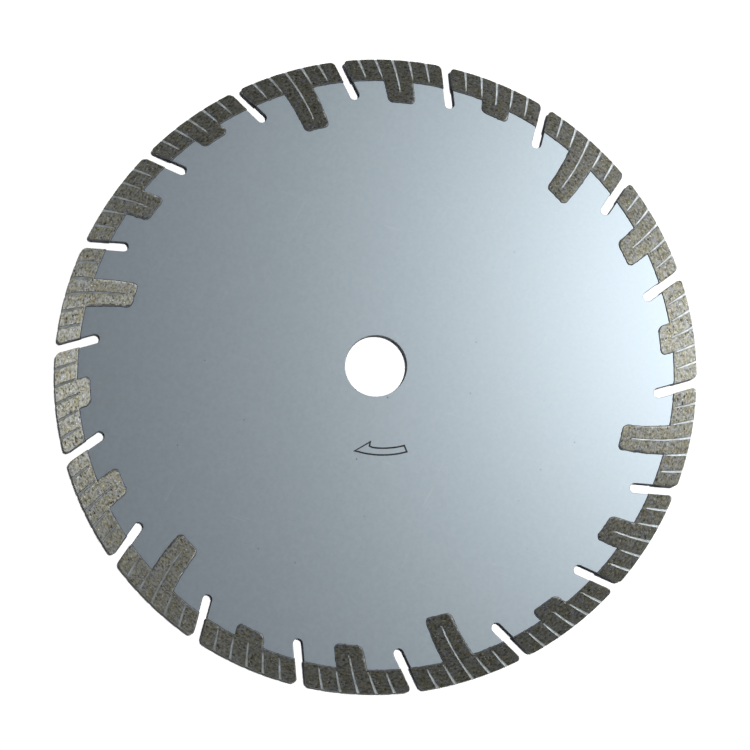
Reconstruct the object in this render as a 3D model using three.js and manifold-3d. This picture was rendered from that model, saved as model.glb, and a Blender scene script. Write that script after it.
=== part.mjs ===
// A 230 mm segmented diamond cutting blade: a slotted steel core with eighteen sintered
// cutting segments keyed onto its rim. Sizes are in millimetres. The blade lies in the XY
// plane, turns about +Z, shows its front face to +Z and has the bore's centre, at half its
// thickness, at the origin. Clock angles are in degrees, clockwise from +Y seen from the front.
import * as THREE from "three";
import { mergeVertices } from "three/addons/utils/BufferGeometryUtils.js";
import Module from "manifold-3d";

// Steel core
const BLADE_RADIUS = 115;
const BORE_RADIUS = 22.23 / 2;
const FLANGE_RADIUS = 30;
const CORE_RADIUS = 109;
const CORE_THICKNESS = 1.8;
const CORE_STEPS = 90;

// Cooling slots: straight, leaning back, with a round inner end
const SLOT_WIDTH = 3.5;
const SLOT_END_RADIUS = 101.65;
const SLOT_LEAN_DEG = 2.55;

// Segments: a band around the rim, with one tooth that laps onto the core
const SEGMENT_COUNT = 18;
const SEGMENT_PITCH_DEG = 360 / SEGMENT_COUNT;
const SEGMENT_THICKNESS = 2.8;
const SEGMENT_GAP = 3.1;
const FIRST_TOOTH_DEG = 3;
const BAND_INNER_RADIUS = 107;
const TOOTH_HALF_DEG = 2.8;
const TOOTH_TIPS = { medium: 98.85, short: 102.65, long: 90.95 };
const TOOTH_ORDER = ["medium", "short", "long"];

// Corner cuts: how far from its corner each rounding starts
const LEADING_CUT = 1.7;
const TRAILING_CUT = 1.1;
const BAND_CUT = 0.4;
const ROOT_CUT = 0.5;
const TIP_CUT = 1.6;

// Teeth and grooves lean back along one shallow curve
const SWEEP_SLOPE = 0.203;
const SWEEP_EASE = 0.00272;

// Grooves on both faces of a segment
const GROOVE_OFFSETS_DEG = [-6.25, -3.05, 0, 3.05, 6.25];
const GROOVE_DEPTH = 0.28;
const GROOVE_MOUTH_WIDTH = 1.25;
const GROOVE_NECK_WIDTH = 0.94;
const GROOVE_END_WIDTH = 0.8;
const GROOVE_NECK_RADIUS = 110;
const BAND_GROOVE_END = 108;
const TOOTH_GROOVE_ENDS = { medium: 102.9, short: 107, long: 95 };

// Each segment is held by a key through a notch in the core, hidden under its tooth
const KEY_INSET = 1.3;
const KEY_GAP = 0.3;
const SEAM_GAP = 0.05;

const RIM_STEP_DEG = 2.5;
const RIM_STEPS_PER_SIDE = 3;
const FLANK_STEP = 4;
const GROOVE_STEP = 5;
const CORNER_STEPS = 3;
const OVERSHOOT = 3;

const wasm = await Module();
wasm.setup();

function clockPoint(angleDeg, radius) {
  const angle = THREE.MathUtils.degToRad(angleDeg);
  return new THREE.Vector2(radius * Math.sin(angle), radius * Math.cos(angle));
}

// The clock angle that a tooth or groove has gained at a radius, counted from the rim
function sweepDeg(radius) {
  const depth = BLADE_RADIUS - radius;
  return depth * (SWEEP_SLOPE - SWEEP_EASE * depth);
}

function toSolid(geometry) {
  geometry.deleteAttribute("normal");
  geometry.deleteAttribute("uv");
  const merged = mergeVertices(geometry, 1e-4);
  return new wasm.Manifold(new wasm.Mesh({
    numProp: 3,
    vertProperties: merged.attributes.position.array,
    triVerts: new Uint32Array(merged.index.array),
  }));
}

function toGeometry(solid) {
  const mesh = solid.getMesh();
  const indexed = new THREE.BufferGeometry();
  indexed.setAttribute("position", new THREE.BufferAttribute(mesh.vertProperties, 3));
  indexed.setIndex(new THREE.BufferAttribute(mesh.triVerts, 1));
  const geometry = indexed.toNonIndexed();
  geometry.computeVertexNormals();
  return geometry;
}

// A flat plate with the shape's outline, from one height to another
function plate(shape, bottom, top) {
  const geometry = new THREE.ExtrudeGeometry(shape, {
    depth: top - bottom,
    bevelEnabled: false,
    curveSegments: CORNER_STEPS,
  });
  return toSolid(geometry.translate(0, 0, bottom));
}

// A closed shape through its corners, each rounded off from `cut` before it to `cut` after it
function roundedShape(corners) {
  const shape = new THREE.Shape();
  corners.forEach(({ point, cut = 0 }, i) => {
    const before = corners.at(i - 1).point;
    const after = corners[(i + 1) % corners.length].point;
    const start = point.clone().lerp(before, cut / point.distanceTo(before));
    const end = point.clone().lerp(after, cut / point.distanceTo(after));
    if (i === 0) {
      shape.moveTo(start.x, start.y);
    } else {
      shape.lineTo(start.x, start.y);
    }
    if (cut > 0) {
      shape.quadraticCurveTo(point.x, point.y, end.x, end.y);
    }
  });
  shape.closePath();
  return shape;
}

// The radii from one to another, in even steps of at most `step`
function radiiBetween(from, to, step) {
  const count = Math.max(1, Math.ceil(Math.abs(to - from) / step));
  return Array.from({ length: count + 1 }, (_, i) => THREE.MathUtils.lerp(from, to, i / count));
}

// Where a line beside a slot's centre line meets a radius. `offset` is positive clockwise.
function besideSlot(slotDeg, offset, radius) {
  const mouth = clockPoint(slotDeg, BLADE_RADIUS);
  const end = clockPoint(slotDeg + SLOT_LEAN_DEG, SLOT_END_RADIUS);
  const inward = end.sub(mouth).normalize();
  const start = mouth.add(new THREE.Vector2(-inward.y, inward.x).multiplyScalar(offset));
  const along = start.dot(inward);
  const reach = -along - Math.sqrt(along * along - start.lengthSq() + radius * radius);
  return start.addScaledVector(inward, reach);
}

// A point on a tooth's flank: side -1 is the leading flank and 1 the trailing one
function flankPoint(side, radius, inset) {
  const insetDeg = THREE.MathUtils.radToDeg(inset / radius);
  return clockPoint(sweepDeg(radius) + side * (TOOTH_HALF_DEG - insetDeg), radius);
}

// Corners of a tooth from its trailing root round its tip to its leading root
function toothCorners(rootRadius, tipRadius, inset, rootCut) {
  const radii = radiiBetween(rootRadius, tipRadius + inset, FLANK_STEP);
  const cutAt = (i) => (i === 0 ? rootCut : i === radii.length - 1 ? TIP_CUT : 0);
  const trailing = radii.map((radius, i) => ({ point: flankPoint(1, radius, inset), cut: cutAt(i) }));
  const leading = radii.map((radius, i) => ({ point: flankPoint(-1, radius, inset), cut: cutAt(i) }));
  return [...trailing, ...leading.reverse()];
}

function segmentShape(tipRadius) {
  const leadingEnd = (radius) => besideSlot(-SEGMENT_PITCH_DEG / 2, SEGMENT_GAP / 2, radius);
  const trailingEnd = (radius) => besideSlot(SEGMENT_PITCH_DEG / 2, -SEGMENT_GAP / 2, radius);
  const rim = [];
  for (let step = -RIM_STEPS_PER_SIDE; step <= RIM_STEPS_PER_SIDE; step += 1) {
    rim.push({ point: clockPoint(step * RIM_STEP_DEG, BLADE_RADIUS) });
  }
  const bandSweep = sweepDeg(BAND_INNER_RADIUS);
  return roundedShape([
    { point: leadingEnd(BLADE_RADIUS), cut: LEADING_CUT },
    ...rim,
    { point: trailingEnd(BLADE_RADIUS), cut: TRAILING_CUT },
    { point: trailingEnd(BAND_INNER_RADIUS), cut: BAND_CUT },
    { point: clockPoint(bandSweep + 2 * TOOTH_HALF_DEG, BAND_INNER_RADIUS) },
    ...toothCorners(BAND_INNER_RADIUS, tipRadius, 0, ROOT_CUT),
    { point: clockPoint(bandSweep - 2 * TOOTH_HALF_DEG, BAND_INNER_RADIUS) },
    { point: leadingEnd(BAND_INNER_RADIUS), cut: BAND_CUT },
  ]);
}

function grooveHalfWidth(radius, endRadius) {
  const { lerp, inverseLerp } = THREE.MathUtils;
  if (radius > GROOVE_NECK_RADIUS) {
    const share = inverseLerp(GROOVE_NECK_RADIUS, BLADE_RADIUS, radius);
    return lerp(GROOVE_NECK_WIDTH, GROOVE_MOUTH_WIDTH, share) / 2;
  }
  return lerp(GROOVE_END_WIDTH, GROOVE_NECK_WIDTH, inverseLerp(endRadius, GROOVE_NECK_RADIUS, radius)) / 2;
}

// A groove runs from outside the rim, along the sweep, to a pointed end
function grooveShape(offsetDeg, endRadius) {
  const neckToEnd = radiiBetween(GROOVE_NECK_RADIUS, endRadius + GROOVE_END_WIDTH / 2, GROOVE_STEP);
  const radii = [BLADE_RADIUS + OVERSHOOT, ...neckToEnd];
  const side = (sign) => radii.map((radius) => {
    const widthDeg = THREE.MathUtils.radToDeg(grooveHalfWidth(radius, endRadius) / radius);
    return clockPoint(offsetDeg + sweepDeg(radius) + sign * widthDeg, radius);
  });
  const tip = clockPoint(offsetDeg + sweepDeg(endRadius), endRadius);
  return new THREE.Shape([...side(1), tip, ...side(-1).reverse()]);
}

// The disc from the bore to a radius, with a ring of its own where the machine's flanges clamp
function disc(innerRadius, outerRadius, thickness) {
  const half = thickness / 2;
  const profile = [
    [innerRadius, -half],
    [FLANGE_RADIUS, -half],
    [outerRadius, -half],
    [outerRadius, half],
    [FLANGE_RADIUS, half],
    [innerRadius, half],
    [innerRadius, -half],
  ].map(([radius, height]) => new THREE.Vector2(radius, height));
  return toSolid(new THREE.LatheGeometry(profile, CORE_STEPS).rotateX(Math.PI / 2));
}

// The key through the core under a tooth, or with a smaller inset the notch that it sits in
function keySolid(tipRadius, inset, thickness) {
  const shape = roundedShape(toothCorners(BLADE_RADIUS, tipRadius, inset, 0));
  return plate(shape, -thickness / 2, thickness / 2);
}

function slotSolid() {
  const half = SLOT_WIDTH / 2;
  const mouthRadius = BLADE_RADIUS + OVERSHOOT;
  const slotDeg = SEGMENT_PITCH_DEG / 2;
  const end = clockPoint(slotDeg + SLOT_LEAN_DEG, SLOT_END_RADIUS);
  const mouth = clockPoint(slotDeg, BLADE_RADIUS);
  const acrossAngle = Math.atan2(mouth.y - end.y, mouth.x - end.x) + Math.PI / 2;
  const shape = new THREE.Shape();
  const quarter = Math.PI / 2;
  shape.absarc(end.x, end.y, half, acrossAngle, acrossAngle + quarter, false);
  shape.absarc(end.x, end.y, half, acrossAngle + quarter, acrossAngle + 2 * quarter, false);
  const clockwiseSide = besideSlot(slotDeg, half, mouthRadius);
  const otherSide = besideSlot(slotDeg, -half, mouthRadius);
  shape.lineTo(clockwiseSide.x, clockwiseSide.y);
  shape.lineTo(otherSide.x, otherSide.y);
  shape.closePath();
  return plate(shape, -CORE_THICKNESS, CORE_THICKNESS);
}

// Turns something made at clock angle 0 to the clock angle of the tooth with this number
function toothTurn(index) {
  return -THREE.MathUtils.degToRad(FIRST_TOOTH_DEG + index * SEGMENT_PITCH_DEG);
}

function makeCore(material) {
  let solid = disc(BORE_RADIUS, CORE_RADIUS, CORE_THICKNESS);
  const slot = slotSolid();
  const notches = {};
  for (const kind of TOOTH_ORDER) {
    notches[kind] = keySolid(TOOTH_TIPS[kind], KEY_INSET - KEY_GAP, 2 * CORE_THICKNESS);
  }
  for (let index = 0; index < SEGMENT_COUNT; index += 1) {
    const turn = [0, 0, THREE.MathUtils.radToDeg(toothTurn(index))];
    const notch = notches[TOOTH_ORDER[index % TOOTH_ORDER.length]];
    solid = solid.subtract(slot.rotate(turn)).subtract(notch.rotate(turn));
  }
  const mesh = new THREE.Mesh(toGeometry(solid), material);
  mesh.name = "steel_core";
  return mesh;
}

function makeSegmentGeometry(kind) {
  const half = SEGMENT_THICKNESS / 2;
  const tipRadius = TOOTH_TIPS[kind];
  const seatThickness = CORE_THICKNESS + 2 * SEAM_GAP;
  const seat = disc(BORE_RADIUS, CORE_RADIUS + KEY_GAP, seatThickness)
    .subtract(keySolid(tipRadius, KEY_INSET, SEGMENT_THICKNESS));
  let solid = plate(segmentShape(tipRadius), -half, half).subtract(seat);
  for (const offsetDeg of GROOVE_OFFSETS_DEG) {
    const shape = grooveShape(offsetDeg, offsetDeg === 0 ? TOOTH_GROOVE_ENDS[kind] : BAND_GROOVE_END);
    solid = solid
      .subtract(plate(shape, half - GROOVE_DEPTH, half + OVERSHOOT))
      .subtract(plate(shape, -half - OVERSHOOT, GROOVE_DEPTH - half));
  }
  return toGeometry(solid);
}

const steel = new THREE.MeshStandardMaterial({ color: 0xa7b1b8, roughness: 0.38, metalness: 0.6 });
const sinter = new THREE.MeshStandardMaterial({ color: 0x77756c, roughness: 0.62, metalness: 0.45 });

const segmentGeometries = {};
for (const kind of TOOTH_ORDER) {
  segmentGeometries[kind] = makeSegmentGeometry(kind);
}

const blade = new THREE.Group();
blade.add(makeCore(steel));
for (let index = 0; index < SEGMENT_COUNT; index += 1) {
  const kind = TOOTH_ORDER[index % TOOTH_ORDER.length];
  const segment = new THREE.Mesh(segmentGeometries[kind], sinter);
  segment.name = `segment_${String(index + 1).padStart(2, "0")}_${kind}`;
  segment.rotation.z = toothTurn(index);
  blade.add(segment);
}

export default blade;
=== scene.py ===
"""The diamond blade as it looks: painted steel core, ground segments, studio floor and lights.

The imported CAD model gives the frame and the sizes. Every piece is rebuilt here as a finer mesh in
the same place. Lengths inside the mesh code are in millimetres, and clock angles are in degrees,
clockwise from +Y seen from the front. Blender objects are in metres.
"""

import math

import bpy
import bmesh
import numpy as np
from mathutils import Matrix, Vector, noise
from mathutils.geometry import delaunay_2d_cdt


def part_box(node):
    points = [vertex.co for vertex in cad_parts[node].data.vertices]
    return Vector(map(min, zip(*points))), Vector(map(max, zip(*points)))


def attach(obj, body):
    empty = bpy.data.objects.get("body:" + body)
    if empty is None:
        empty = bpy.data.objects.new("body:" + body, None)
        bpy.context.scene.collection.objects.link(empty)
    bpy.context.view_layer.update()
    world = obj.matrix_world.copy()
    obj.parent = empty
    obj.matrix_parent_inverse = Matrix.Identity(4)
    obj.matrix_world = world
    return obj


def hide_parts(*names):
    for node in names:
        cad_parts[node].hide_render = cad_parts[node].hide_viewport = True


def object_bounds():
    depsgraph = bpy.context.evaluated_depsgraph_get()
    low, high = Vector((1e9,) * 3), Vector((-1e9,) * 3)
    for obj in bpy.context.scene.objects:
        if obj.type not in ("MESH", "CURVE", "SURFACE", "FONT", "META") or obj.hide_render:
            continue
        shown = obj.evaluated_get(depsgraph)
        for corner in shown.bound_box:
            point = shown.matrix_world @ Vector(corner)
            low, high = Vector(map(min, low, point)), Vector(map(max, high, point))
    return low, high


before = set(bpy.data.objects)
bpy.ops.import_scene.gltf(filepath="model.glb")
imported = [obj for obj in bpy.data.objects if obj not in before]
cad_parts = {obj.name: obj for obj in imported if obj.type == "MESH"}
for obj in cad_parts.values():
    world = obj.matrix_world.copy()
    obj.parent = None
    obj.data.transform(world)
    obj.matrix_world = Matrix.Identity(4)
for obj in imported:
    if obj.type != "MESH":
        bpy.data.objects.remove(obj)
cad_low, cad_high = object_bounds()

MM = 0.001
CORE_NODE = "steel_core"
SEGMENT_NODES = sorted(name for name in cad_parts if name.startswith("segment_"))

# Heights come from the CAD frame. The sizes in plan are those of the CAD model.
_, core_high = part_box(CORE_NODE)
CORE_HALF = core_high.z / MM
TOP = cad_high.z / MM
BLADE_RADIUS = 115.0
CORE_RADIUS = 109.0
BORE_RADIUS = 22.23 / 2

# Cooling slots
PITCH_DEG = 360 / len(SEGMENT_NODES)
FIRST_TOOTH_DEG = 3.0
SLOT_HALF = 1.75
SLOT_END_RADIUS = 101.65
SLOT_LEAN_DEG = 2.55
SLOT_SHIFT_DEG = PITCH_DEG / 2

# Segments: a band along the rim with one tooth that laps onto the core
SEGMENT_GAP = 3.1
BAND_RADIUS = 107.0
TOOTH_TIPS = {"medium": 98.85, "short": 102.65, "long": 90.95}
TOOTH_HALF_DEG = 2.8
TIP_ROUND = 1.7
COUNTER_END_ROUND = 1.9
CLOCKWISE_END_ROUND = 1.6
PAD_LIFT = 0.005
UNDERSIDE = CORE_HALF + PAD_LIFT

# Teeth and grooves lean back along one shallow curve
SWEEP_SLOPE = 0.203
SWEEP_EASE = 0.00272

# Grooves: five on each face, each narrowing from the rim to a neck and then to its end
GROOVE_ENDS = {"medium": 102.9, "short": 107.0, "long": 95.0}
BAND_GROOVE_END = 108.0
MIDDLE_TAPER_END = GROOVE_ENDS["long"]
OUTER_GROOVE_DEG = 6.25
GROOVE_DEPTH = 0.28
GROOVE_TAIL_HALF = 0.38
GROOVE_NECK_RADIUS, GROOVE_NECK_HALF = 110.0, 0.47
GROOVE_MOUTH_HALF = 0.625
GROOVE_WALL = 0.13
GROOVE_WALL_SHARE = 0.88
GROOVE_FOOT = 0.22

# Grid of a segment's face: steps in from an edge, cell size, and columns beside and across the grooves
EDGE_STEPS = [0.0, 0.05, 0.11, 0.2, 0.34]
CELL = 0.42
LIP_STEPS = (0.09, 0.24)
COLUMNS_BETWEEN = [4, 5, 5, 5, 5, 4]
COUNTER_LIP_COLUMN, CLOCKWISE_LIP_COLUMN = 2, 8

# Unevenness of the segments
RIM_CLEARANCE = 0.01
WANDER, INNER_WANDER = 0.035, 0.075
EDGE_ROUND, EDGE_ROUND_MORE = 0.13, 0.14
FLARE, FLARE_MORE = 0.2, 0.25
FACE_ROUGHNESS, FLOOR_ROUGHNESS = 0.012, 0.03
FLANK_TOP_SHARE = 0.12
FLANK_TOP_OUT = 0.02
FLANK_FOOT_LIFT = 0.02

# How much near-black painted shade lies on the flanks and on the groove walls
FLANK_PAINTED_SHADE = 0.57
GROOVE_WALL_PAINTED_SHADE = 0.5

# Core: the rounding of its cut edges as insets and drops, and the height where its walls are divided
CORE_EDGE = [(0.16, 0.0), (0.07, 0.03), (0.02, 0.085), (0.0, 0.17)]
CORE_WALL_LEVEL = 0.3
SLOT_SIDE_POINTS = 12
SLOT_END_POINTS = 21
RIM_ARC_POINTS = 14
BORE_POINTS = 160

# Printed arrow, and flecks in the paint as clock angle, radius and size
ARROW_LINE = 0.6
INK_THICKNESS = 0.018
INK_SINK = 0.01
FLECKS = ((191.6, 34.2, 0.5), (160.1, 12.2, 0.55))


def clock_point(angle_deg, radius):
    angle = math.radians(angle_deg)
    return np.array([radius * math.sin(angle), radius * math.cos(angle)])


def sweep_deg(radius):
    """The clock angle that a tooth or groove has gained at a radius, counted from the rim."""
    depth = BLADE_RADIUS - radius
    return depth * (SWEEP_SLOPE - SWEEP_EASE * depth)


def beside_slot(slot_deg, offset, radius):
    """Where a line beside a slot's centre line meets a radius. The offset is positive clockwise."""
    mouth = clock_point(slot_deg, BLADE_RADIUS)
    end = clock_point(slot_deg + SLOT_LEAN_DEG, SLOT_END_RADIUS)
    inward = (end - mouth) / np.linalg.norm(end - mouth)
    start = mouth + offset * np.array([-inward[1], inward[0]])
    along = start @ inward
    reach = -along - math.sqrt(along * along - start @ start + radius * radius)
    return start + reach * inward


def smooth_step(low, high, value):
    share = np.clip((value - low) / (high - low), 0.0, 1.0)
    return share * share * (3 - 2 * share)


def field(points, scale, seed):
    """Smooth noise in about -1 to 1 at each point, in the plane."""
    return np.array([noise.noise(Vector((x / scale, y / scale, seed))) for x, y in points])


def outward_of(loop):
    """Unit vectors that point out of a clockwise outline at each of its points."""
    ahead = np.roll(loop, -1, axis=0) - np.roll(loop, 1, axis=0)
    outward = np.stack([-ahead[:, 1], ahead[:, 0]], axis=1)
    return outward / np.maximum(np.linalg.norm(outward, axis=1, keepdims=True), 1e-9)


def distance_to(loop, points):
    """How far each point is from a closed outline."""
    spans = np.roll(loop, -1, axis=0) - loop
    lengths = np.maximum((spans ** 2).sum(axis=1), 1e-9)
    offsets = points[:, None, :] - loop[None, :, :]
    share = np.clip((offsets * spans[None]).sum(axis=2) / lengths, 0, 1)
    return np.sqrt(((offsets - share[..., None] * spans[None]) ** 2).sum(axis=2)).min(axis=1)


# ---------------------------------------------------------------- meshes

def make_object(name, vertices_mm, faces, shares=None, sharp_deg=28, flat_from=None, finishes=None):
    """A mesh object in metres with faces out, smooth apart from its sharp edges and its flat faces."""
    mesh = bpy.data.meshes.new(name)
    mesh.from_pydata([tuple(co) for co in np.asarray(vertices_mm) * MM], [], faces)
    for title, values in (shares or {}).items():
        layer = mesh.attributes.new(title, "FLOAT", "POINT")
        layer.data.foreach_set("value", np.asarray(values, dtype=np.float32))
    if finishes is not None:
        mesh.polygons.foreach_set("material_index", finishes)
    shape = bmesh.new()
    shape.from_mesh(mesh)
    bmesh.ops.recalc_face_normals(shape, faces=shape.faces)
    shape.faces.ensure_lookup_table()
    for face in shape.faces:
        face.smooth = flat_from is None or face.index < flat_from
    for edge in shape.edges:
        edge.smooth = len(edge.link_faces) == 2 and edge.calc_face_angle(0.0) < math.radians(sharp_deg)
    shape.to_mesh(mesh)
    shape.free()
    piece = bpy.data.objects.new(name, mesh)
    bpy.context.scene.collection.objects.link(piece)
    return piece


def spaced(start, end, step):
    """Even values from start to end, both included, no further apart than step."""
    count = max(1, math.ceil(abs(end - start) / step))
    return list(np.linspace(start, end, count + 1))


def segment_rows(tip_radius):
    """Radii of the grid's rows: the band from the rim inwards, then the tooth down to its tip."""
    band_top = [BLADE_RADIUS - step for step in EDGE_STEPS]
    band_bottom = [BAND_RADIUS + step for step in reversed(EDGE_STEPS)]
    upper = spaced(band_top[-1], CORE_RADIUS, CELL)
    lower = spaced(CORE_RADIUS, band_bottom[0], CELL)
    band = band_top + upper[1:] + lower[1:] + band_bottom[1:]
    tooth_bottom = [tip_radius + step for step in reversed(EDGE_STEPS)]
    tooth = spaced(BAND_RADIUS, tooth_bottom[0], CELL)[1:] + tooth_bottom[1:]
    return band, tooth


def groove_half_width(radius, end_radius):
    """Half the width of a groove, which tapers from the rim to a neck and then to its end."""
    places = [end_radius, GROOVE_NECK_RADIUS, BLADE_RADIUS]
    return np.interp(radius, places, [GROOVE_TAIL_HALF, GROOVE_NECK_HALF, GROOVE_MOUTH_HALF])


def corner_inset(distance, rounding):
    """How far a rounded corner has drawn in at a distance from the edge that it ends on."""
    short = np.clip(rounding - distance, 0, rounding)
    return rounding - np.sqrt(rounding * rounding - short * short)


def across_groove(centre, half):
    """Columns across a groove: its floor, its walls, its lips and a little of the face beside them."""
    steps = [half - GROOVE_FOOT, half - GROOVE_WALL, half] + [half + step for step in LIP_STEPS]
    return [centre - step for step in reversed(steps)] + [centre] + [centre + step for step in steps]


def row_columns(radius, tip_radius):
    """Columns of a row, in mm along the arc from the tooth's axis, and the tooth's first and last column."""
    per_deg = math.radians(1) * radius
    width = float(groove_half_width(radius, BAND_GROOVE_END))
    middle_width = float(groove_half_width(radius, MIDDLE_TAPER_END))
    flank = TOOTH_HALF_DEG * per_deg
    if radius < BAND_RADIUS:
        flank -= float(corner_inset(radius - tip_radius, TIP_ROUND))
    ends = []
    for sign, rounding in ((-1, COUNTER_END_ROUND), (1, CLOCKWISE_END_ROUND)):
        x, y = beside_slot(sign * SLOT_SHIFT_DEG, -sign * SEGMENT_GAP / 2, max(radius, BAND_RADIUS))
        angle = math.degrees(math.atan2(x, y)) - sweep_deg(radius)
        inset = float(corner_inset(BLADE_RADIUS - radius, rounding))
        ends.append(angle * per_deg - sign * inset)
    outer = OUTER_GROOVE_DEG * per_deg
    inner = flank + width
    groups = [
        [ends[0] + step for step in EDGE_STEPS],
        across_groove(-outer, width),
        across_groove(-inner, width),
        across_groove(0.0, middle_width),
        across_groove(inner, width),
        across_groove(outer, width),
        [ends[1] - step for step in reversed(EDGE_STEPS)],
    ]
    columns = list(groups[0])
    starts = []
    for group, count in zip(groups[1:], COLUMNS_BETWEEN):
        columns.extend(np.linspace(columns[-1], group[0], count + 2)[1:-1])
        starts.append(len(columns))
        columns.extend(group)
    # The grooves beside the tooth continue its flanks, so their near lips are its edges
    first = starts[1] + CLOCKWISE_LIP_COLUMN
    last = starts[3] + COUNTER_LIP_COLUMN
    return columns, first, last


class SegmentGrid:
    """A segment's face in plan, with its tooth at 12 o'clock: keys (row, column), points and outline."""

    def __init__(self, kind):
        tip_radius = TOOTH_TIPS[kind]
        band, tooth = segment_rows(tip_radius)
        self.rows = band + tooth
        self.band_last = len(band) - 1
        self.seat = int(np.argmin(abs(np.array(band) - CORE_RADIUS)))
        self.keys = []
        points = []
        for i, radius in enumerate(self.rows):
            columns, first, last = row_columns(radius, tip_radius)
            chosen = range(len(columns)) if i <= self.band_last else range(first, last + 1)
            for j in chosen:
                angle = sweep_deg(radius) + math.degrees(columns[j] / radius)
                self.keys.append((i, j))
                points.append(clock_point(angle, radius))
        self.width = len(columns)
        self.index = {key: n for n, key in enumerate(self.keys)}
        self.points = np.array(points)
        self.radii = np.array([self.rows[i] for i, _ in self.keys])
        self.outline = self.outline_keys(first, last)
        self.loop = [self.index[key] for key in self.outline]

    def outline_keys(self, first, last):
        """Clockwise: along the rim, in beside the slot, round the tooth and out beside the other slot."""
        band_last, width, bottom = self.band_last, self.width, len(self.rows) - 1
        keys = [(0, j) for j in range(width)]
        keys += [(i, width - 1) for i in range(1, band_last + 1)]
        keys += [(band_last, j) for j in range(width - 2, last - 1, -1)]
        keys += [(i, last) for i in range(band_last + 1, bottom + 1)]
        keys += [(bottom, j) for j in range(last - 1, first - 1, -1)]
        keys += [(i, first) for i in range(bottom - 1, band_last - 1, -1)]
        keys += [(band_last, j) for j in range(first - 1, -1, -1)]
        keys += [(i, 0) for i in range(band_last - 1, 0, -1)]
        return keys


def groove_shares(grid, kind):
    """The depth of the grooves at each point, as a share of the full depth, and the share of painted shade on
    their walls.
    """
    points, radii = grid.points, grid.radii
    per_deg = np.radians(1) * radii
    clock_deg = np.array([math.degrees(math.atan2(x, y)) for x, y in points])
    place = (clock_deg - np.array([sweep_deg(radius) for radius in radii])) * per_deg
    outer = OUTER_GROOVE_DEG * per_deg
    inner = TOOTH_HALF_DEG * per_deg + groove_half_width(radii, BAND_GROOVE_END)
    grooves = [(centre, BAND_GROOVE_END, BAND_GROOVE_END) for centre in (-outer, -inner, inner, outer)]
    grooves.append((np.zeros(len(points)), GROOVE_ENDS[kind], MIDDLE_TAPER_END))
    depth = np.zeros(len(points))
    wall = np.zeros(len(points))
    for centre, end, taper_end in grooves:
        half = groove_half_width(radii, taper_end)
        inside = half - abs(place - centre)
        profile = GROOVE_WALL_SHARE * smooth_step(0.0, GROOVE_WALL, inside)
        profile += (1 - GROOVE_WALL_SHARE) * np.clip((inside - 0.05) / (half - 0.05), 0, 1)
        run_out = smooth_step(-0.25, 0.3, radii - end)
        depth = np.maximum(depth, profile * run_out)
        # The groove walls take a share of near-black painted shade
        on_wall = (inside > -0.01) & (inside < GROOVE_WALL + 0.01) & (run_out > 0.5)
        wall = np.maximum(wall, GROOVE_WALL_PAINTED_SHADE * on_wall)
    return depth, wall


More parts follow.
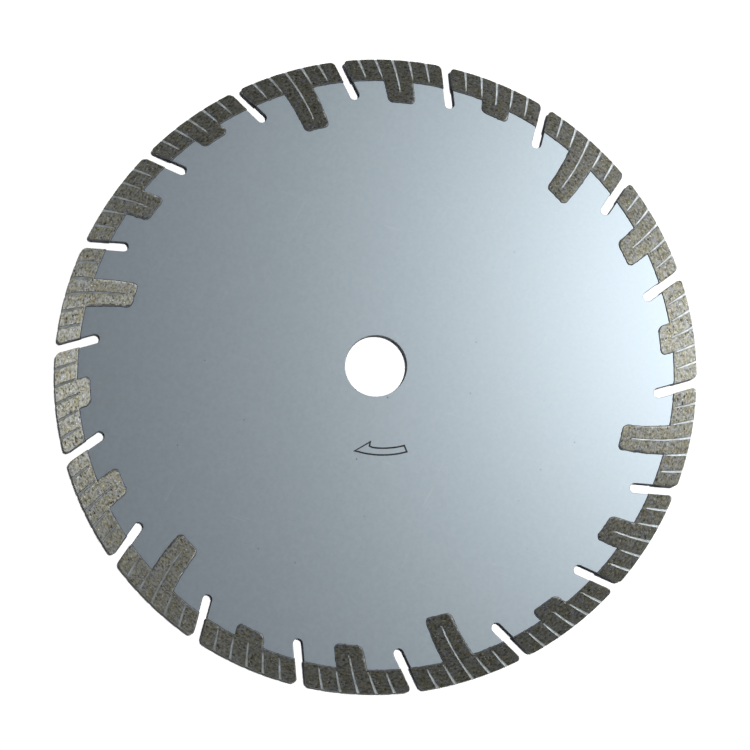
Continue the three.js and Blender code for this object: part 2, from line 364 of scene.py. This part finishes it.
def segment_mesh(kind, turn_deg, seed):
    """Vertices, faces, point shares and finishes (0 ground, 1 paint or painted shade) of a segment turned to
    its place.
    """
    grid = SegmentGrid(kind)
    rows, keys, outline, loop = grid.rows, grid.keys, grid.outline, grid.loop
    starts = grid.points[loop]
    edge_distance = distance_to(starts, grid.points)
    outward = outward_of(starts)
    groove, groove_painted_shade = groove_shares(grid, kind)

    angle = -math.radians(turn_deg)
    turn = np.array([[math.cos(angle), -math.sin(angle)], [math.sin(angle), math.cos(angle)]])
    on_band_end = np.array([j in (0, grid.width - 1) for _, j in outline])
    on_core = np.array([i >= grid.band_last for i, _ in outline]) & ~on_band_end
    on_rim = np.array([i == 0 for i, _ in outline])

    wander = np.stack([field(grid.points, 1.3, seed), field(grid.points, 1.3, seed + 40)], axis=1)
    inner_share = smooth_step(0.4, -0.6, grid.radii - BAND_RADIUS)[:, None]
    moved = grid.points + wander * (WANDER + INNER_WANDER * inner_share)
    reach = np.linalg.norm(moved, axis=1, keepdims=True)
    moved *= np.minimum(1.0, (BLADE_RADIUS - RIM_CLEARANCE) / reach)
    loop_moved = moved[loop]
    rounding = EDGE_ROUND + EDGE_ROUND_MORE * np.clip(field(grid.points, 1.0, seed + 80) + 0.15, 0, 1)
    drop = corner_inset(edge_distance, rounding)
    flare = on_core * (FLARE + FLARE_MORE * np.clip(field(starts, 0.8, seed + 120), 0, 1))

    vertices = []
    bare = []
    wall = []
    faces = []

    def add(xy, heights, bare_share, wall_share):
        """Add vertices that share the height, bare metal and painted shade given, or have one value each."""
        start = len(vertices)
        vertices.extend([x, y, z] for (x, y), z in zip(xy @ turn.T, np.broadcast_to(heights, len(xy))))
        bare.extend(np.broadcast_to(bare_share, len(xy)))
        wall.extend(np.broadcast_to(wall_share, len(xy)))
        return start

    # Each face has a top, two rings down its flanks, and a pad or a waist just above the core
    under_keys = [key for key in keys if rows[key[0]] <= CORE_RADIUS + 1e-6]
    under_index = {key: n for n, key in enumerate(under_keys)}
    under_points = moved[[grid.index[key] for key in under_keys]]
    ring_bare = np.where(on_rim, 1.0, 0.0)
    # Near-black painted shade on the flanks over the core and on the band's ends
    ring_painted_shade = np.where(on_core, FLANK_PAINTED_SHADE, 1.0)
    bare_face = (1 - smooth_step(0.15, 0.5, groove)) * smooth_step(0.0, 0.09, edge_distance)
    sides = {}
    for side in (1, -1):
        face_rough = FACE_ROUGHNESS * field(grid.points, 0.5, seed + 160 + side)
        floor_rough = FLOOR_ROUGHNESS * field(grid.points, 0.35, seed + 200 + side)
        height = TOP - drop - GROOVE_DEPTH * groove + face_rough * (1 - groove) + floor_rough * groove
        height = np.minimum(height, TOP)
        high = height[loop] - FLANK_TOP_SHARE * (height[loop] - UNDERSIDE)
        low = UNDERSIDE + FLANK_FOOT_LIFT
        upper_ring = loop_moved + outward * FLANK_TOP_OUT * on_core[:, None]
        lower_ring = loop_moved + outward * flare[:, None]
        tops = add(moved, side * height, bare_face, groove_painted_shade)
        ring_1 = add(upper_ring, side * high, ring_bare, ring_painted_shade)
        ring_2 = add(lower_ring, side * low, ring_bare, ring_painted_shade)
        under = add(under_points, side * UNDERSIDE, 0.0, 1.0)
        waist = add(loop_moved, side * UNDERSIDE, ring_bare, 1.0)
        sides[side] = (tops, ring_1, ring_2, under, waist)

    def base(side, n):
        """The vertex under the outline's place n: the pad's underside, or the wall's waist above the core."""
        _, _, _, under, waist = sides[side]
        key = outline[n]
        return under + under_index[key] if key in under_index else waist + n

    for side in (1, -1):
        tops, ring_1, ring_2, under, _ = sides[side]
        for i, j in keys:
            corners = [(i, j), (i, j + 1), (i + 1, j + 1), (i + 1, j)]
            if all(corner in grid.index for corner in corners):
                faces.append(tuple(tops + grid.index[corner] for corner in corners))
                if all(corner in under_index for corner in corners):
                    faces.append(tuple(under + under_index[corner] for corner in corners))
        for n in range(len(outline)):
            m = (n + 1) % len(outline)
            faces.append((tops + loop[n], tops + loop[m], ring_1 + m, ring_1 + n))
            faces.append((ring_1 + n, ring_1 + m, ring_2 + m, ring_2 + n))
            faces.append((ring_2 + n, ring_2 + m, base(side, m), base(side, n)))

    # Past the core's rim the two faces join: through the ends and the rim, and over the core's edge
    past_core = [rows[i] >= CORE_RADIUS - 1e-6 for i, _ in outline]
    for n in range(len(outline)):
        m = (n + 1) % len(outline)
        if past_core[n] and past_core[m]:
            faces.append((base(1, n), base(1, m), base(-1, m), base(-1, n)))
    front, back = sides[1][3], sides[-1][3]
    for j in range(grid.width - 1):
        a, b = under_index[grid.seat, j], under_index[grid.seat, j + 1]
        faces.append((front + a, front + b, back + b, back + a))

    used = sorted({vertex for face in faces for vertex in face})
    order = {vertex: n for n, vertex in enumerate(used)}
    bare = np.array(bare)[used]
    wall = np.array(wall)[used]
    faces = [tuple(order[vertex] for vertex in face) for face in faces]
    painted = [int(bare[list(face)].mean() < 0.5) for face in faces]
    return np.array(vertices)[used], faces, {"bare": bare, "wall": wall}, painted


def core_loops():
    """The core's outlines seen from the front: the rim with its slots, then the bore."""
    rim = []
    for index in range(len(SEGMENT_NODES)):
        slot = FIRST_TOOTH_DEG + SLOT_SHIFT_DEG + index * PITCH_DEG
        mouth = clock_point(slot, BLADE_RADIUS)
        end = clock_point(slot + SLOT_LEAN_DEG, SLOT_END_RADIUS)
        outward = math.atan2(mouth[1] - end[1], mouth[0] - end[0])
        left = beside_slot(slot, -SLOT_HALF, CORE_RADIUS)
        right = beside_slot(slot, SLOT_HALF, CORE_RADIUS)

        def round_end(turn):
            return end + SLOT_HALF * np.array([math.cos(outward + turn), math.sin(outward + turn)])

        left_foot = round_end(math.pi / 2)
        right_foot = round_end(-math.pi / 2)
        rim += [left + (left_foot - left) * share for share in np.linspace(0, 1, SLOT_SIDE_POINTS)[:-1]]
        rim += [round_end(turn) for turn in np.linspace(math.pi / 2, 3 * math.pi / 2, SLOT_END_POINTS)]
        rim += [right_foot + (right - right_foot) * share for share in np.linspace(0, 1, SLOT_SIDE_POINTS)[1:]]
        start = math.degrees(math.atan2(*right))
        stop = math.degrees(math.atan2(*beside_slot(slot + PITCH_DEG, -SLOT_HALF, CORE_RADIUS)))
        stop += 360 if stop < start else 0
        rim += [clock_point(angle, CORE_RADIUS) for angle in np.linspace(start, stop, RIM_ARC_POINTS)[1:-1]]
    bore = [clock_point(angle, BORE_RADIUS) for angle in np.linspace(0, 360, BORE_POINTS + 1)[:-1]]
    return np.array(rim), np.array(bore)


def core_mesh():
    """The plate: vertices, faces, the number of side faces before the two flat ones, and finishes.

    The cut edges are softly rounded. Finish 0 is the painted plate and 1 its cut walls, in painted shade.
    """
    vertices = []
    faces = []
    finishes = []
    loops = core_loops()
    levels = [(inset, CORE_HALF - drop) for inset, drop in CORE_EDGE]
    levels += [(0.0, z) for z in (CORE_WALL_LEVEL, -CORE_WALL_LEVEL)]
    levels += [(inset, drop - CORE_HALF) for inset, drop in reversed(CORE_EDGE)]
    caps = {0: [], len(levels) - 1: []}
    wall_levels = range(2, len(levels) - 3)
    for number, loop in enumerate(loops):
        is_bore = number == 1
        inward = outward_of(loop) if is_bore else -outward_of(loop)
        start = len(vertices)
        count = len(loop)
        for level, (inset, z) in enumerate(levels):
            placed = loop + inward * inset
            if level in caps:
                caps[level].append((len(vertices), count))
            vertices.extend([x, y, z] for x, y in placed)
        for level in range(len(levels) - 1):
            for n in range(count):
                m = (n + 1) % count
                a = start + level * count
                b = a + count
                faces.append((a + n, a + m, b + m, b + n))
                finishes.append(int(level in wall_levels))
    wall_count = len(faces)
    for level, runs in caps.items():
        ids = [start + n for start, count in runs for n in range(count)]
        points = [Vector(vertices[vertex][:2]) for vertex in ids]
        edges = []
        offset = 0
        for _, count in runs:
            edges += [(offset + n, offset + (n + 1) % count) for n in range(count)]
            offset += count
        _, _, triangles, _, _, _ = delaunay_2d_cdt(points, edges, [], 0, 1e-7)
        rim_points = np.array([vertices[vertex][:2] for vertex in ids])
        rim_count = runs[0][1]
        for triangle in triangles:
            centre = rim_points[list(triangle)].mean(axis=0)
            if is_inside(centre, rim_points[:rim_count]) and not is_inside(centre, rim_points[rim_count:]):
                faces.append(tuple(ids[n] for n in triangle))
    finishes += [0] * (len(faces) - wall_count)
    return np.array(vertices), faces, wall_count, finishes


def is_inside(point, loop):
    """Whether a point lies inside a closed outline."""
    x, y = point
    there = np.roll(loop, -1, axis=0)
    crosses = (loop[:, 1] > y) != (there[:, 1] > y)
    with np.errstate(divide="ignore", invalid="ignore"):
        at = loop[:, 0] + (y - loop[:, 1]) * (there[:, 0] - loop[:, 0]) / (there[:, 1] - loop[:, 1])
    return bool(np.count_nonzero(crosses & (x < at)) % 2)


def arrow_mesh():
    """The printed rotation arrow: a thin outline that points the way the blade turns.

    The outline's points are pairs of clock angle and radius.
    """
    head = [(193.95, 31.56), (184.24, 27.43), (184.63, 28.99)]
    inner = list(zip(np.linspace(182.35, 160.65, 14), np.linspace(29.42, 30.42, 14)))
    outer = list(zip(np.linspace(160.5, 191.6, 18), np.linspace(32.81, 31.5, 18)))
    loop = np.array([clock_point(angle_deg, radius) for angle_deg, radius in head + inner + outer])
    before = loop - np.roll(loop, 1, axis=0)
    after = np.roll(loop, -1, axis=0) - loop
    before /= np.linalg.norm(before, axis=1, keepdims=True)
    after /= np.linalg.norm(after, axis=1, keepdims=True)
    mitre = np.stack([-(before + after)[:, 1], (before + after)[:, 0]], axis=1)
    mitre /= np.linalg.norm(mitre, axis=1, keepdims=True)
    straight = np.stack([-after[:, 1], after[:, 0]], axis=1)
    mitre /= np.maximum((mitre * straight).sum(axis=1, keepdims=True), 0.5)
    half = ARROW_LINE / 2
    low, high = CORE_HALF - INK_SINK, CORE_HALF + INK_THICKNESS
    vertices = []
    for z in (high, low):
        for offset in (half, -half):
            vertices.extend([x, y, z] for x, y in loop + mitre * offset)
    count = len(loop)
    faces = []
    for n in range(count):
        m = (n + 1) % count
        faces.append((n, m, count + m, count + n))
        faces.append((2 * count + m, 2 * count + n, 3 * count + n, 3 * count + m))
        faces.append((n, 2 * count + n, 2 * count + m, m))
        faces.append((count + n, count + m, 3 * count + m, 3 * count + n))
    return np.array(vertices), faces


# ---------------------------------------------------------------- materials

# A radius on the rim's band, in metres, at which stretched patterns keep their scale
RIM_MIDDLE = 0.110

PAINT_LIGHT = (0.425, 0.494, 0.536, 1)
PAINT_DARK = (0.385, 0.450, 0.492, 1)
PAINT_WARM = (0.412, 0.458, 0.500, 1)
PAINT_ROUGHNESS = 0.475
PAINT_METALLIC = 0.66

SINTER_ROUGHNESS = 0.52
SINTER_METALLIC = 0.85
SINTER_ANISOTROPY = 0.98
OLIVE = (0.322, 0.308, 0.220, 1)
BLUE_GREY = (0.317, 0.331, 0.335, 1)
LIP_COLOUR = (0.36, 0.38, 0.37, 1)
# Near-black navy painted shade for the flanks, the band's ends and the groove walls
PAINTED_SHADE_NAVY = (0.022, 0.022, 0.052, 1)


class Tree:
    """A material's node tree, with short calls for the nodes that the finishes share."""

    def __init__(self, name):
        self.material = bpy.data.materials.new(name)
        self.material.use_nodes = True
        self.tree = self.material.node_tree
        self.shader = self.tree.nodes["Principled BSDF"]
        self.place = self.node("ShaderNodeTexCoord").outputs["Object"]

    def node(self, kind, **settings):
        made = self.tree.nodes.new(kind)
        for key, value in settings.items():
            setattr(made, key, value)
        return made

    def link(self, value, socket):
        if hasattr(value, "is_linked"):
            self.tree.links.new(value, socket)
        else:
            socket.default_value = value

    def math(self, operation, a, b=0.0, c=0.0):
        made = self.node("ShaderNodeMath", operation=operation)
        for value, socket in zip((a, b, c), made.inputs):
            self.link(value, socket)
        return made.outputs[0]

    def mix(self, share, a, b, blend="MIX"):
        made = self.node("ShaderNodeMix", data_type="RGBA", blend_type=blend)
        self.link(share, made.inputs[0])
        self.link(a, made.inputs[6])
        self.link(b, made.inputs[7])
        return made.outputs[2]

    def noise(self, vector, scale, detail=3.0, roughness=0.55):
        made = self.node("ShaderNodeTexNoise")
        self.link(vector, made.inputs["Vector"])
        made.inputs["Scale"].default_value = scale
        made.inputs["Detail"].default_value = detail
        made.inputs["Roughness"].default_value = roughness
        return made.outputs["Fac"]

    def cells(self, vector, scale):
        made = self.node("ShaderNodeTexVoronoi")
        self.link(vector, made.inputs["Vector"])
        made.inputs["Scale"].default_value = scale
        return made.outputs

    def ramp(self, value, stops):
        made = self.node("ShaderNodeValToRGB")
        self.link(value, made.inputs[0])
        points = made.color_ramp.elements
        while len(points) < len(stops):
            points.new(0.5)
        for point, (place, level) in zip(points, stops):
            point.position = place
            point.color = level if isinstance(level, tuple) else (level, level, level, 1)
        return made.outputs["Color"]

    def bump(self, height, strength, distance, normal=None):
        made = self.node("ShaderNodeBump")
        made.inputs["Strength"].default_value = strength
        made.inputs["Distance"].default_value = distance
        self.link(height, made.inputs["Height"])
        if normal is not None:
            self.link(normal, made.inputs["Normal"])
        return made.outputs["Normal"]

    def across_rim(self):
        """Across the grinding marks: away from the hub on the flat faces, and along the axis on the rim."""
        level = self.node("ShaderNodeVectorMath", operation="MULTIPLY_ADD")
        level.inputs[1].default_value = (1, 1, 0)
        level.inputs[2].default_value = (0, 0, RIM_MIDDLE)
        self.link(self.place, level.inputs[0])
        turned = self.node("ShaderNodeVectorTransform", vector_type="VECTOR", convert_from="OBJECT",
                           convert_to="WORLD")
        self.link(level.outputs[0], turned.inputs[0])
        return turned.outputs[0]

    def around_hub(self, around):
        """Coordinates that follow the rim, with lengths along it scaled so that patterns stretch that way."""
        parts = self.node("ShaderNodeSeparateXYZ")
        self.link(self.place, parts.inputs[0])
        x, y, z = parts.outputs
        radius = self.math("SQRT", self.math("ADD", self.math("MULTIPLY", x, x), self.math("MULTIPLY", y, y)))
        inverse = self.math("DIVIDE", around * RIM_MIDDLE, self.math("MAXIMUM", radius, 1e-4))
        joined = self.node("ShaderNodeCombineXYZ")
        self.link(self.math("MULTIPLY", x, inverse), joined.inputs[0])
        self.link(self.math("MULTIPLY", y, inverse), joined.inputs[1])
        self.link(self.math("ADD", radius, z), joined.inputs[2])
        return joined.outputs[0]


def paint_nodes(t):
    """Colour, roughness and height of the satin silver paint."""
    mottle = t.noise(t.place, 700, 4, 0.6)
    cloud = t.noise(t.place, 30, 3)
    flake = t.noise(t.place, 3600, 2, 0.7)
    colour = t.mix(t.ramp(mottle, [(0.3, 0.0), (0.7, 1.0)]), PAINT_DARK, PAINT_LIGHT)
    colour = t.mix(t.math("MULTIPLY", cloud, 0.3), colour, PAINT_WARM)
    specks = t.cells(t.place, 95)
    spots = t.math("LESS_THAN", specks["Distance"], 0.03)
    colour = t.mix(t.math("MULTIPLY", spots, 0.4), colour, (0.12, 0.13, 0.14, 1))
    roughness = t.math("MULTIPLY_ADD", mottle, 0.05, PAINT_ROUGHNESS - 0.025)
    height = t.math("ADD", t.math("MULTIPLY", mottle, 0.3), t.math("MULTIPLY", flake, 0.7))
    return colour, roughness, height


def paint_material():
    """Satin silver paint with faint drawn scratches and the two dark flecks."""
    t = Tree("silver_paint")
    colour, roughness, height = paint_nodes(t)
    patch = t.ramp(t.noise(t.place, 55, 2), [(0.52, 0.0), (0.62, 1.0)])
    for turn in (0.5, 1.9):
        turned = t.node("ShaderNodeMapping")
        turned.inputs["Rotation"].default_value = (0, 0, turn)
        t.link(t.place, turned.inputs["Vector"])
        drawn = t.node("ShaderNodeVectorMath", operation="MULTIPLY")
        drawn.inputs[1].default_value = (1, 0.03, 1)
        t.link(turned.outputs[0], drawn.inputs[0])
        marks = t.ramp(t.noise(drawn.outputs[0], 1500, 1, 0.4), [(0.70, 0.0), (0.75, 1.0)])
        share = t.math("MULTIPLY", t.math("MULTIPLY", marks, patch), 0.16)
        colour = t.mix(share, colour, (0.62, 0.66, 0.69, 1))
    for angle_deg, radius, size in FLECKS:
        apart = t.node("ShaderNodeVectorMath", operation="DISTANCE")
        t.link(t.place, apart.inputs[0])
        apart.inputs[1].default_value = (*clock_point(angle_deg, radius) * MM, core_high.z)
        spot = t.ramp(t.math("MULTIPLY", apart.outputs["Value"], 1 / (size * MM)), [(0.3, 0.6), (0.8, 0.0)])
        colour = t.mix(spot, colour, (0.05, 0.055, 0.07, 1))
    t.link(colour, t.shader.inputs["Base Color"])
    t.link(roughness, t.shader.inputs["Roughness"])
    t.shader.inputs["Metallic"].default_value = PAINT_METALLIC
    t.link(t.bump(height, 0.14, 0.00003), t.shader.inputs["Normal"])
    return t.material


def ground_metal(t):
    """Colour, pores and height of the ground matrix, marked along the rim by the grinding."""
    patches = t.noise(t.around_hub(0.6), 620, 3, 0.6)
    colour = t.mix(t.ramp(patches, [(0.38, 0.0), (0.62, 1.0)]), OLIVE, BLUE_GREY)
    grain = t.noise(t.around_hub(0.6), 1550, 4, 0.65)
    colour = t.mix(t.ramp(grain, [(0.36, 1.0), (0.52, 0.0)]), colour, (0.135, 0.125, 0.085, 1))
    colour = t.mix(t.ramp(grain, [(0.54, 0.0), (0.70, 0.75)]), colour, (0.55, 0.56, 0.53, 1))
    bend = t.node("ShaderNodeVectorMath", operation="MULTIPLY_ADD")
    wave = t.node("ShaderNodeTexNoise")
    wave.inputs["Scale"].default_value = 2600
    t.link(t.place, wave.inputs["Vector"])
    t.link(wave.outputs["Color"], bend.inputs[0])
    bend.inputs[1].default_value = (0.0007, 0.0007, 0.0007)
    t.link(t.around_hub(0.6), bend.inputs[2])
    pores = None
    for spacing, reach, offset in ((880, 0.56, -0.17), (1500, 0.5, -0.12)):
        cells = t.cells(bend.outputs[0], spacing)
        parts = t.node("ShaderNodeSeparateColor")
        t.link(cells["Color"], parts.inputs[0])
        size = t.math("MULTIPLY_ADD", parts.outputs[0], reach, offset)
        depth = t.math("MULTIPLY", t.math("SUBTRACT", size, cells["Distance"]), 9.0)
        soft = t.math("MINIMUM", t.math("MAXIMUM", depth, 0.0), 1.0)
        pores = soft if pores is None else t.math("MAXIMUM", pores, soft)
    colour = t.mix(t.math("MULTIPLY", pores, 0.8), colour, (0.03, 0.028, 0.02, 1))
    # Painted glints: near-white specks in the base colour stand in for the sparkle of the diamond grit
    grit = t.cells(t.place, 1300)
    grit_parts = t.node("ShaderNodeSeparateColor")
    t.link(grit["Color"], grit_parts.inputs[0])
    glint_size = t.math("MULTIPLY_ADD", grit_parts.outputs[1], 0.9, -0.62)
    glints = t.math("LESS_THAN", grit["Distance"], glint_size)
    colour = t.mix(t.math("MULTIPLY", glints, 0.8), colour, (0.85, 0.86, 0.82, 1))
    height = t.math("SUBTRACT", t.math("MULTIPLY", grain, 0.8), pores)
    return colour, pores, height


def segment_material():
    """Ground sintered metal, with a lighter edge along the lips of the grooves and the face's border."""
    t = Tree("sintered_segment")
    share = t.node("ShaderNodeAttribute", attribute_name="bare").outputs["Fac"]
    wobble = t.noise(t.place, 1500, 2)
    edge = t.math("ADD", share, t.math("MULTIPLY", t.math("SUBTRACT", wobble, 0.5), 0.5))
    bare = t.ramp(edge, [(0.50, 0.0), (0.70, 1.0)])
    ground, pores, height = ground_metal(t)
    t.link(t.mix(bare, LIP_COLOUR, ground), t.shader.inputs["Base Color"])
    t.link(t.math("MULTIPLY_ADD", pores, 0.2, SINTER_ROUGHNESS), t.shader.inputs["Roughness"])
    t.shader.inputs["Metallic"].default_value = SINTER_METALLIC
    t.shader.inputs["Anisotropic"].default_value = SINTER_ANISOTROPY
    t.link(t.across_rim(), t.shader.inputs["Tangent"])
    t.link(t.bump(height, 0.30, 0.00005), t.shader.inputs["Normal"])
    return t.material


def channel_material():
    """Silver paint on a groove's floor, turning to a near-black navy painted shade where the wall share is
    high: on the groove walls, the flanks and the band's ends.
    """
    t = Tree("channel_paint_and_shade")
    paint, roughness, height = paint_nodes(t)
    shade_share = t.node("ShaderNodeAttribute", attribute_name="wall").outputs["Fac"]
    crust = t.noise(t.place, 2200, 4, 0.7)
    # Painted shade: the wall share mixes in the near-black navy
    painted_shade = t.math("MULTIPLY", t.ramp(shade_share, [(0.2, 0.0), (0.6, 1.0)]), 0.93)
    fresh = t.mix(0.3, paint, (0.80, 0.82, 0.80, 1))
    grime = t.ramp(t.noise(t.place, 480, 4, 0.65), [(0.40, 0.55), (0.62, 0.0)])
    fresh = t.mix(grime, fresh, (0.16, 0.155, 0.13, 1))
    t.link(t.mix(painted_shade, fresh, PAINTED_SHADE_NAVY), t.shader.inputs["Base Color"])
    t.link(t.math("MULTIPLY_ADD", painted_shade, 0.3, roughness), t.shader.inputs["Roughness"])
    t.link(t.math("MULTIPLY_ADD", painted_shade, -0.5, 0.55), t.shader.inputs["Metallic"])
    t.link(t.bump(t.math("ADD", height, crust), 0.3, 0.00005), t.shader.inputs["Normal"])
    return t.material


def cut_wall_shade_material():
    """A near-black painted shade on the cut walls of the slots, the bore and the plate's rim."""
    t = Tree("cut_wall_painted_shade")
    patch = t.noise(t.place, 900, 4, 0.65)
    t.link(t.mix(patch, (0.012, 0.013, 0.024, 1), (0.06, 0.063, 0.08, 1)), t.shader.inputs["Base Color"])
    t.link(t.ramp(patch, [(0.2, 0.5), (0.8, 0.75)]), t.shader.inputs["Roughness"])
    t.shader.inputs["Metallic"].default_value = 0.3
    t.link(t.bump(patch, 0.3, 0.00005), t.shader.inputs["Normal"])
    return t.material


def ink_material():
    """The arrow's near-black ink."""
    t = Tree("arrow_ink")
    patch = t.noise(t.place, 1400, 3)
    t.link(t.mix(patch, (0.004, 0.005, 0.008, 1), (0.014, 0.016, 0.02, 1)), t.shader.inputs["Base Color"])
    t.link(t.ramp(patch, [(0.0, 0.4), (1.0, 0.6)]), t.shader.inputs["Roughness"])
    t.link(t.bump(patch, 0.15, 0.00002), t.shader.inputs["Normal"])
    return t.material


# ---------------------------------------------------------------- the blade

PAINT = paint_material()
SEGMENT = segment_material()
CHANNEL_AND_SHADE = channel_material()
INK = ink_material()
CUT_WALL_SHADE = cut_wall_shade_material()
PIECES = []


def place_piece(piece, materials, node=None):
    """Finish a piece and carry it on the blade's body, in place of its CAD node where it has one."""
    PIECES.append(piece)
    indices = [polygon.material_index for polygon in piece.data.polygons]
    for material in materials:
        piece.data.materials.append(material)
    piece.data.polygons.foreach_set("material_index", indices)
    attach(piece, "root")
    if node:
        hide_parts(node)
    return piece


core_vertices, core_faces, wall_count, core_finishes = core_mesh()
core = make_object("core_plate", core_vertices, core_faces, sharp_deg=50, flat_from=wall_count,
                   finishes=core_finishes)
place_piece(core, [PAINT, CUT_WALL_SHADE], CORE_NODE)
arrow_vertices, arrow_faces = arrow_mesh()
place_piece(make_object("rotation_arrow", arrow_vertices, arrow_faces), [INK])
for index, node in enumerate(SEGMENT_NODES):
    kind = node.rsplit("_", 1)[1]
    vertices, faces, shares, painted = segment_mesh(kind, FIRST_TOOTH_DEG + index * PITCH_DEG, 3.7 * index)
    piece = make_object(f"cutting_{node}", vertices, faces, shares, sharp_deg=40, finishes=painted)
    place_piece(piece, [SEGMENT, CHANNEL_AND_SHADE], node)


# ---------------------------------------------------------------- stage, lights and camera

FLOOR_RADIUS = 4.0
FLOOR_Z = cad_low.z - 0.00005
LIGHT_DISTANCE = 1.3
WALL_TOP, CEILING_START = 0.40, 0.58
WALL_LIGHT = (0.43, 0.44, 0.44, 1)
CEILING_LIGHT = (0.010, 0.012, 0.020, 1)

# The camera stands above the front face, a little below the hub, and leans up towards it
CAMERA_PLACE = (-0.00106, -0.07359, cad_high.z + 0.47362)
CAMERA_TURN = (0.1471, -0.0015, 0)
CAMERA_LENS = 64.18


def make_floor():
    """A wide pale grey floor that glows white far from the blade."""
    t = Tree("pale_floor")
    grain = t.noise(t.place, 60, 3)
    t.link(t.ramp(grain, [(0.0, 0.66), (1.0, 0.70)]), t.shader.inputs["Base Color"])
    t.link(t.ramp(grain, [(0.0, 0.8), (1.0, 0.9)]), t.shader.inputs["Roughness"])
    t.shader.inputs["Specular IOR Level"].default_value = 0.0
    t.shader.inputs["Emission Color"].default_value = (1, 1, 1, 1)
    reach = t.node("ShaderNodeVectorMath", operation="LENGTH")
    t.link(t.place, reach.inputs[0])
    glow = t.math("MULTIPLY", reach.outputs["Value"], 1 / FLOOR_RADIUS)
    t.link(t.ramp(glow, [(0.06, 0.0), (0.22, 1.0)]), t.shader.inputs["Emission Strength"])
    bpy.ops.mesh.primitive_circle_add(vertices=96, radius=FLOOR_RADIUS, fill_type="NGON",
                                      location=(0, 0, FLOOR_Z))
    floor = bpy.context.object
    floor.name = "stage_floor"
    floor.data.materials.append(t.material)
    return floor


def area_light(name, azimuth_deg, elevation_deg, size, power, lit):
    """A square soft light on the hub that lights only the given things. Azimuth 0 is +X and 90 is +Y."""
    azimuth, elevation = math.radians(azimuth_deg), math.radians(elevation_deg)
    lamp = bpy.data.lights.new(name, "AREA")
    lamp.shape = "SQUARE"
    lamp.size = size
    lamp.energy = power
    light = bpy.data.objects.new(name, lamp)
    light.location = LIGHT_DISTANCE * Vector((math.cos(azimuth) * math.cos(elevation),
                                              math.sin(azimuth) * math.cos(elevation), math.sin(elevation)))
    light.rotation_euler = light.location.to_track_quat("Z", "Y").to_euler()
    light.visible_camera = False
    receivers = bpy.data.collections.new(name + "_receivers")
    for thing in lit:
        receivers.objects.link(thing)
    light.light_linking.receiver_collection = receivers
    bpy.context.scene.collection.objects.link(light)


def make_world():
    """Grey-white walls and a dim bluish ceiling. The camera sees plain white beyond the floor."""
    world = bpy.data.worlds.new("studio")
    world.use_nodes = True
    bpy.context.scene.world = world
    nodes, links = world.node_tree.nodes, world.node_tree.links
    parts = nodes.new("ShaderNodeSeparateXYZ")
    links.new(nodes.new("ShaderNodeTexCoord").outputs["Generated"], parts.inputs[0])
    height = nodes.new("ShaderNodeMapRange")
    height.interpolation_type = "SMOOTHSTEP"
    height.inputs["From Min"].default_value = WALL_TOP
    height.inputs["From Max"].default_value = CEILING_START
    links.new(parts.outputs["Z"], height.inputs["Value"])
    shade = nodes.new("ShaderNodeMix")
    shade.data_type = "RGBA"
    shade.inputs[6].default_value = WALL_LIGHT
    shade.inputs[7].default_value = CEILING_LIGHT
    links.new(height.outputs["Result"], shade.inputs[0])
    fill = nodes["Background"]
    links.new(shade.outputs[2], fill.inputs["Color"])
    seen = nodes.new("ShaderNodeBackground")
    seen.inputs["Color"].default_value = (1, 1, 1, 1)
    path = nodes.new("ShaderNodeLightPath")
    mixed = nodes.new("ShaderNodeMixShader")
    links.new(path.outputs["Is Camera Ray"], mixed.inputs[0])
    links.new(fill.outputs[0], mixed.inputs[1])
    links.new(seen.outputs[0], mixed.inputs[2])
    links.new(mixed.outputs[0], nodes["World Output"].inputs["Surface"])


floor = make_floor()
make_world()
area_light("key", 20, 60, 0.35, 9.0, PIECES)
area_light("key_top", 45, 64, 0.35, 2.5, PIECES)
area_light("backdrop", 22, 70, 0.12, 29.0, [floor])

camera_data = bpy.data.cameras.new("camera")
camera_data.sensor_width = 36
camera_data.lens = CAMERA_LENS
camera = bpy.data.objects.new("camera", camera_data)
camera.location = CAMERA_PLACE
camera.rotation_euler = CAMERA_TURN
bpy.context.scene.collection.objects.link(camera)
bpy.context.scene.camera = camera
bpy.context.scene.view_settings.view_transform = "Standard"
